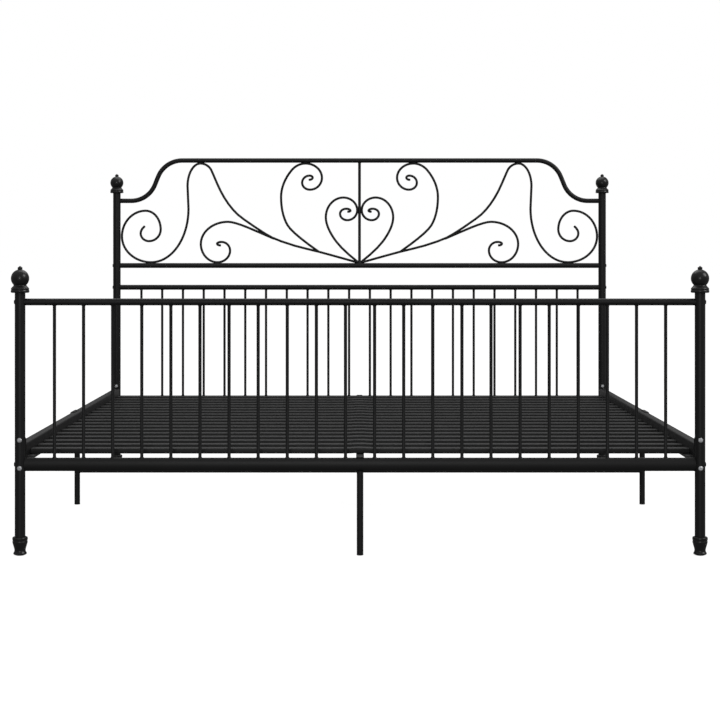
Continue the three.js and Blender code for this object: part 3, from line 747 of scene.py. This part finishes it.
# A head lies against the post, and the nut against the end plate on the other side.
HEAD_SEAT = POST_RADIUS + GAP
NUT_END = HEAD_SEAT + PLATE_THICKNESS + GAP + NUT_HEIGHT
rail_bolt_shape = bolt(HEAD_SEAT, RAIL_BOLT_HEAD, RAIL_BOLT_RADIUS, NUT_END + RAIL_BOLT_END)
rail_bolt_shape.add(hex_nut(NUT_RADIUS, NUT_HEIGHT), shift(z=-NUT_END))
panel_bolt_shape = bolt(HEAD_SEAT, PANEL_BOLT_HEAD, PANEL_BOLT_RADIUS, POST_RADIUS + PANEL_BOLT_GRIP)
finial_shape = turned(smooth_profile(FINIAL, PROFILE_STEPS), ROUND_SIDES)
cap_shape = turned(smooth_profile(CAP, PROFILE_STEPS), ROUND_SIDES)
# The last height at the head is the hidden low rail's, whose bolt has no CAD node.
PANEL_BOLT_HEIGHTS = {
    "foot": (FOOT_LOW_RAIL_Z, BAR_TOP_RAIL_Z),
    "head": (BAR_TOP_RAIL_Z, SCROLL_RAIL_Z, HEAD_LOW_RAIL_Z),
}

ENDS = {"foot": -1, "head": 1}
SIDES = {"left": -1, "right": 1}


def along_y(x, y, z, end):
    """Lays a bolt along Y at a place, its head towards the outside of that end."""
    return lambda p: (x + p[0], y + end * p[2], z + p[1])


def along_x(x, y, z, side):
    """Lays a bolt along X at a place, its head towards the outside of that side."""
    return lambda p: (x + side * p[2], y + p[0], z + p[1])


def corner(place, side, end, panel_bolt_heights):
    low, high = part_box(f"post_{place}")
    bottom, top = low.z / MM, high.z / MM
    x, y = side * POST_X, end * POST_Y
    make_piece(f"post_{place}_fine", placed(post(bottom, top), shift(x, y)), "black_paint",
               f"post_{place}")
    make_piece(f"finial_{place}_fine", placed(finial_shape, shift(x, y, top + GAP)), "black_plastic",
               f"finial_{place}", sharp_degrees=50)
    make_piece(f"foot_cap_{place}_fine", placed(cap_shape, shift(x, y)), "black_plastic",
               f"foot_cap_{place}", sharp_degrees=50)
    for i, z in enumerate(RAIL_BOLT_HEIGHTS, 1):
        name = f"rail_bolt_{place}_{i}"
        change = along_y(side * RAIL_BOLT_X, y, z, end)
        make_piece(name + "_fine", placed(rail_bolt_shape, change), "zinc_steel", name)
    for i, z in enumerate(panel_bolt_heights, 1):
        name = f"panel_bolt_{place}_{i}"
        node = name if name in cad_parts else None
        make_piece(name + "_fine", placed(panel_bolt_shape, along_x(x, y, z, side)), "black_screw", node)


for end_name, end in ENDS.items():
    for side_name, side in SIDES.items():
        corner(f"{end_name}_{side_name}", side, end, PANEL_BOLT_HEIGHTS[end_name])


# ---- Side rails ----

LEDGE_EDGE = SIDE_INNER - LEDGE_WIDTH
PLATE_OUT_Y = POST_Y - POST_RADIUS - GAP
PLATE_IN_Y = PLATE_OUT_Y - PLATE_THICKNESS
PLATE_EDGE = 0.4
RAIL_CORNER = 4
PLATE_CORNER = 8
LEDGE_WELD_COUNT = 6
LEDGE_WELD_START = 80
LEDGE_WELD_SPACING = 165
LEDGE_WELD_LENGTH = 22


def side_rail():
    """The quarter at +X and +Y: box tube, ledge, end plate and welds."""
    shape = Shape()
    tube = rounded([(SIDE_OUTER, SIDE_BOTTOM), (SIDE_OUTER, SIDE_TOP), (SIDE_INNER, SIDE_TOP),
                    (SIDE_INNER, SIDE_BOTTOM)], RAIL_CORNER, 6)
    shape.add(extrude(tube, (GAP, 1, PLATE_IN_Y - 0.2), "xz"))
    under = LEDGE_TOP - LEDGE_THICKNESS
    inner = SIDE_INNER - LEDGE_THICKNESS
    angle = rounded([
        (SIDE_INNER + 0.05, SIDE_BOTTOM, 0), (SIDE_INNER + 0.05, LEDGE_TOP, 0.3),
        (LEDGE_EDGE, LEDGE_TOP, 0.8), (LEDGE_EDGE, under, 0.8),
        (inner, under, 1.2), (inner, SIDE_BOTTOM, 0.8)], 0.5, 3)
    shape.add(extrude(angle, (GAP, PLATE_IN_Y - 0.4), "xz"))
    middle_z = sum(RAIL_BOLT_HEIGHTS) / 2
    u, v = PLATE_WIDTH / 2, PLATE_HEIGHT / 2
    plate = rounded([(-u, -v), (u, -v), (u, v), (-u, v)], PLATE_CORNER, 6)
    levels = ((PLATE_EDGE, PLATE_IN_Y), (0, PLATE_IN_Y + PLATE_EDGE),
              (0, PLATE_OUT_Y - PLATE_EDGE), (PLATE_EDGE, PLATE_OUT_Y))
    rings = []
    for shrink, y in levels:
        wide, tall = 1 - shrink / u, 1 - shrink / v
        rings.append([(POST_X + p * wide, y, middle_z + q * tall) for p, q in plate])
    shape.loft(rings)
    y = PLATE_IN_Y - PLATE_EDGE
    runs = [
        ((SIDE_OUTER + 0.2, y, SIDE_BOTTOM + 5), (SIDE_OUTER + 0.2, y, SIDE_TOP - 5)),
        ((SIDE_INNER + 0.6, y, LEDGE_TOP + 4), (SIDE_INNER + 0.6, y, SIDE_TOP - 4)),
        ((SIDE_INNER + 3, y, SIDE_TOP + 0.2), (SIDE_OUTER - 3, y, SIDE_TOP + 0.2)),
        ((SIDE_INNER + 3, y, SIDE_BOTTOM - 0.2), (SIDE_OUTER - 3, y, SIDE_BOTTOM - 0.2)),
    ]
    for i, (start, finish) in enumerate(runs):
        shape.add(bead_line(start, finish, 1.8, 1.3 * i))
    weld_x, weld_z = SIDE_INNER - 0.3, LEDGE_TOP + 0.1
    for k in range(LEDGE_WELD_COUNT):
        start = LEDGE_WELD_START + k * LEDGE_WELD_SPACING
        finish = start + LEDGE_WELD_LENGTH
        shape.add(bead_line((weld_x, start, weld_z), (weld_x, finish, weld_z), 1.3, 2.7 * k))
    return shape


def connector():
    """A C-shaped bracket on the outer side, over the butt of the two half rails."""
    outer = SIDE_OUTER + GAP
    lip = outer - CONNECTOR_LIP
    bottom, top = SIDE_BOTTOM - GAP, SIDE_TOP + GAP
    far = outer + CONNECTOR_THICKNESS
    under = bottom - CONNECTOR_THICKNESS
    over = top + CONNECTOR_THICKNESS
    outline = rounded([
        (lip, under, 0.8), (far, under, 5.5), (far, over, 5.5), (lip, over, 0.8),
        (lip, top, 0.8), (outer, top, 3), (outer, bottom, 3), (lip, bottom, 0.8)], 1, 5)
    return extrude(outline, (-CONNECTOR_LENGTH / 2, CONNECTOR_LENGTH / 2), "xz")


rail_shape = side_rail()
connector_shape = connector()
for side_name, side in SIDES.items():
    for end_name, end in ENDS.items():
        node = f"side_rail_{end_name}_{side_name}"
        make_piece(node + "_fine", placed(rail_shape, mirror(side, end)), "black_paint", node)
    node = f"rail_connector_{side_name}"
    make_piece(node + "_fine", placed(connector_shape, mirror(side)), "black_paint", node)


# ---- Middle support ----

BEAM_BOTTOM = LEDGE_TOP - BEAM_HEIGHT
PLUG_HEIGHT = 3
LEG_SIDES = 36


def leg(x, top):
    """A leg tube that ends just above the floor, where its plug starts."""
    return welded_bar("z", x, PLUG_HEIGHT, top, LEG_RADIUS, LEG_SIDES)


def leg_plug():
    profile = [
        (0, 0, SHARP), (8.2, 0), (9.6, 0.5), (10.4, 1.7), (10.4, 2.6), (9.8, PLUG_HEIGHT, SHARP),
        (0, PLUG_HEIGHT, SHARP),
    ]
    return turned(smooth_profile(profile, 3), 40)


def mid_frame():
    shape = Shape()
    plate_top = SIDE_BOTTOM - GAP - CONNECTOR_THICKNESS - GAP
    plate_bottom = plate_top - LEG_PLATE_THICKNESS
    plate_half = LEG_PLATE_LENGTH / 2
    saddle_top = BEAM_BOTTOM - GAP
    saddle_bottom = saddle_top - LEG_PLATE_THICKNESS
    for x in (-MID_LEG_X, MID_LEG_X):
        shape.add(leg(x, plate_bottom + 0.5))
        low, high = sorted((math.copysign(SIDE_INNER, x), math.copysign(MID_LEG_X + LEG_RADIUS, x)))
        outline = rounded([(low, -plate_half), (high, -plate_half), (high, plate_half),
                           (low, plate_half)], 3, 4)
        shape.add(extrude(outline, (plate_bottom, plate_top), "xy"))
        shape.add(bead_ring(x, plate_bottom))
    shape.add(leg(0, saddle_bottom + 0.5))
    shape.add(bead_ring(0, saddle_bottom))
    for low, high in ((-MID_LEG_X, 0), (0, MID_LEG_X)):
        shape.add(welded_bar("x", STRETCHER_Z, low, high, LEG_RADIUS - 0.02, LEG_SIDES,
                             (LEG_RADIUS, LEG_RADIUS), (LEG_RADIUS, LEG_RADIUS)))
    inside = BEAM_WIDTH / 2 + GAP
    outside = inside + LEG_PLATE_THICKNESS
    lip = saddle_top + SADDLE_LIP
    saddle = rounded([
        (-outside, saddle_bottom, 2.5), (outside, saddle_bottom, 2.5), (outside, lip, 0.8),
        (inside, lip, 0.8), (inside, saddle_top, 0.8), (-inside, saddle_top, 0.8),
        (-inside, lip, 0.8), (-outside, lip, 0.8)], 1, 3)
    shape.add(extrude(saddle, (-SADDLE_LENGTH / 2, SADDLE_LENGTH / 2), "xz"))
    return shape


RING_WELD_SIZE = 1.9
RING_WELD_STEPS = 48


def bead_ring(x, z):
    """A weld all round a leg, under the plate that it carries."""
    rings = []
    for i in range(RING_WELD_STEPS):
        angle = 2 * math.pi * i / RING_WELD_STEPS
        uneven = 0.12 * noise.noise(Vector((i * 0.9, x * 0.01, z * 0.01)))
        swell = RING_WELD_SIZE * (1 + 0.08 * math.sin(i * 2.4) + uneven)
        rings.append([
            (x + (LEG_RADIUS + swell * 0.5 * u) * math.cos(angle),
             (LEG_RADIUS + swell * 0.5 * u) * math.sin(angle),
             z - 0.2 + swell * v * 0.8)
            for u, v in circle(8, 1)
        ])
    shape = Shape()
    shape.loft(rings, around=True)
    return shape


def centre_beam(low_rail_z):
    """The half beam at +Y, its upright end plate and the hook over the low rail."""
    half = BEAM_WIDTH / 2
    outline = rounded([(-half, BEAM_BOTTOM), (half, BEAM_BOTTOM), (half, LEDGE_TOP),
                       (-half, LEDGE_TOP)], 2, 4)
    shape = Shape()
    end = POST_Y - OVAL_HALF_DEPTH - GAP
    shape.add(extrude(outline, (GAP, end - 0.2), "xz"))
    hook_z = low_rail_z + OVAL_HALF_HEIGHT + GAP
    hook_top = hook_z + HOOK_THICKNESS
    hook_end = POST_Y + OVAL_HALF_DEPTH / 2
    plate_y = end - HOOK_THICKNESS
    bent = rounded([
        (end, BEAM_BOTTOM, 0.4), (end, hook_z, 0.3), (hook_end, hook_z, 0.4),
        (hook_end, hook_top, 0.8), (plate_y, hook_top, 1.8), (plate_y, BEAM_BOTTOM, 0.4)], 1, 4)
    shape.add(extrude(bent, (-half, half), "yz"))
    return shape


def centre_leg(low_rail_z):
    top = low_rail_z - OVAL_HALF_HEIGHT - GAP
    shape = leg(0, top)
    stud_top = top + STUD_LENGTH
    stud = [(0, top), (STUD_RADIUS, top), (STUD_RADIUS, stud_top), (0, stud_top)]
    shape.add(turned(stud, 24))
    return shape


make_piece("mid_leg_frame_fine", mid_frame(), "black_paint", "mid_leg_frame")
for end_name, low_rail_z in (("foot", FOOT_LOW_RAIL_Z), ("head", HEAD_LOW_RAIL_Z)):
    end = ENDS[end_name]
    make_piece(f"centre_beam_{end_name}_fine", placed(centre_beam(low_rail_z), mirror(y=end)),
               "black_paint", f"centre_beam_{end_name}")
    make_piece(f"centre_leg_{end_name}_fine", placed(centre_leg(low_rail_z), shift(y=end * POST_Y)),
               "black_paint", f"centre_leg_{end_name}")
PLUG_PLACES = {
    "foot": (0, -POST_Y),
    "middle": (0, 0),
    "head": (0, POST_Y),
    "left": (-MID_LEG_X, 0),
    "right": (MID_LEG_X, 0),
}
plug_shape = leg_plug()
for name, (x, y) in PLUG_PLACES.items():
    make_piece(f"leg_plug_{name}", placed(plug_shape, shift(x, y)), "black_plastic")


# ---- Slats ----

SLAT_BOTTOM = LEDGE_TOP + GAP
SLAT_TOP = SLAT_BOTTOM + SLAT_HEIGHT
HUMP_HALF_WIDTH = 45
HUMP_HEIGHT = 1.5
HUMP_STEP = 5


def hump(x):
    """How much higher a slat stands at x than at its ends. It is highest over the beam."""
    if abs(x) >= HUMP_HALF_WIDTH:
        return 0.0
    return HUMP_HEIGHT * (0.5 + 0.5 * math.cos(math.pi * x / HUMP_HALF_WIDTH)) ** 0.8


def slat(half_length):
    half = SLAT_WIDTH / 2
    inner = half - SLAT_SHEET
    under = SLAT_TOP - SLAT_SHEET
    outline = rounded([
        (-half, SLAT_BOTTOM, 0.3), (-inner, SLAT_BOTTOM, 0.3), (-inner, under, 1.1),
        (inner, under, 1.1), (inner, SLAT_BOTTOM, 0.3), (half, SLAT_BOTTOM, 0.3),
        (half, SLAT_TOP, 2.1), (-half, SLAT_TOP, 2.1)], 1, 4)
    over_beam = range(-HUMP_HALF_WIDTH, HUMP_HALF_WIDTH + 1, HUMP_STEP)
    places = [-half_length, *over_beam, half_length]
    shape = Shape()
    shape.loft([[(x, u, v + hump(x)) for u, v in outline] for x in places])
    return shape


for node in sorted(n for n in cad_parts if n.startswith("slat_")):
    low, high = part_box(node)
    centre_y = (low.y + high.y) / 2 / MM
    make_piece(node + "_fine", placed(slat(high.x / MM), shift(y=centre_y)), "black_paint", node)


# ---- Floor, light and camera ----

def stage_floor():
    """A pale floor that the camera sees as white, and that neither lights the bed nor shows in it."""
    mesh = bpy.data.meshes.new("floor")
    size = 60.0
    corners = [(-size, -size, 0), (size, -size, 0), (size, size, 0), (-size, size, 0)]
    mesh.from_pydata(corners, [], [(0, 1, 2, 3)])
    floor = bpy.data.objects.new("floor", mesh)
    bpy.context.scene.collection.objects.link(floor)
    material = bpy.data.materials.new("pale_floor")
    material.use_nodes = True
    shader = material.node_tree.nodes["Principled BSDF"]
    shader.inputs["Base Color"].default_value = (0.30, 0.30, 0.30, 1)
    shader.inputs["Roughness"].default_value = 1.0
    shader.inputs["Specular IOR Level"].default_value = 0.0
    shader.inputs["Emission Color"].default_value = (1, 1, 1, 1)
    shader.inputs["Emission Strength"].default_value = 0.90
    mesh.materials.append(material)
    floor.visible_diffuse = False
    floor.visible_glossy = False


def world_light():
    """A soft studio, darker below, behind which the camera sees plain white."""
    world = bpy.data.worlds.new("studio")
    bpy.context.scene.world = world
    world.use_nodes = True
    nodes, links = world.node_tree.nodes, world.node_tree.links
    nodes.clear()
    coordinates = nodes.new("ShaderNodeTexCoord")
    split = nodes.new("ShaderNodeSeparateXYZ")
    links.new(coordinates.outputs["Generated"], split.inputs["Vector"])
    ramp = nodes.new("ShaderNodeValToRGB")
    spread = nodes.new("ShaderNodeMapRange")
    spread.inputs["From Min"].default_value = -1
    spread.inputs["From Max"].default_value = 1
    links.new(split.outputs["Z"], spread.inputs["Value"])
    links.new(spread.outputs["Result"], ramp.inputs["Fac"])
    stops = ramp.color_ramp
    stops.elements[0].position = 0.0
    stops.elements[0].color = (0.12, 0.12, 0.12, 1)
    stops.elements[1].position = 1.0
    stops.elements[1].color = (0.42, 0.42, 0.42, 1)
    middle = stops.elements.new(0.5)
    middle.color = (0.20, 0.20, 0.20, 1)
    soft = nodes.new("ShaderNodeBackground")
    links.new(ramp.outputs["Color"], soft.inputs["Color"])
    plain = nodes.new("ShaderNodeBackground")
    plain.inputs["Color"].default_value = (1, 1, 1, 1)
    path = nodes.new("ShaderNodeLightPath")
    mix = nodes.new("ShaderNodeMixShader")
    links.new(path.outputs["Is Camera Ray"], mix.inputs["Fac"])
    links.new(soft.outputs["Background"], mix.inputs[1])
    links.new(plain.outputs["Background"], mix.inputs[2])
    out = nodes.new("ShaderNodeOutputWorld")
    links.new(mix.outputs["Shader"], out.inputs["Surface"])


def area_light(name, location, target, size, power):
    data = bpy.data.lights.new(name, "AREA")
    data.shape = "RECTANGLE"
    data.size, data.size_y = size
    data.energy = power
    light = bpy.data.objects.new(name, data)
    light.location = location
    direction = Vector(target) - Vector(location)
    light.rotation_euler = direction.to_track_quat("-Z", "Y").to_euler()
    bpy.context.scene.collection.objects.link(light)


stage_floor()
world_light()
area_light("overhead", (0, 1.8, 4.6), (0, 0.3, 0), (4.5, 4.5), 78)
area_light("key", (7.8, -3.4, 6.4), (0, 0, 0.6), (3.9, 3.9), 270)
area_light("front", (-0.3, -8.6, 1.5), (0, 0, 0.5), (1.6, 2.0), 62)

# The camera looks level along +Y from beyond the foot end. Places are in metres.
CAMERA_PLACE = (-0.0058, -6.162, 0.922)
CAMERA_LENS = 84.7
CAMERA_SENSOR = 36
CAMERA_SHIFT = (0.0026, -0.1517)

camera_data = bpy.data.cameras.new("camera")
camera_data.lens = CAMERA_LENS
camera_data.sensor_width = CAMERA_SENSOR
camera_data.shift_x, camera_data.shift_y = CAMERA_SHIFT
camera = bpy.data.objects.new("camera", camera_data)
camera.location = CAMERA_PLACE
camera.rotation_euler = (math.radians(90), 0, 0)
bpy.context.scene.collection.objects.link(camera)
bpy.context.scene.camera = camera
bpy.context.scene.view_settings.view_transform = "Standard"
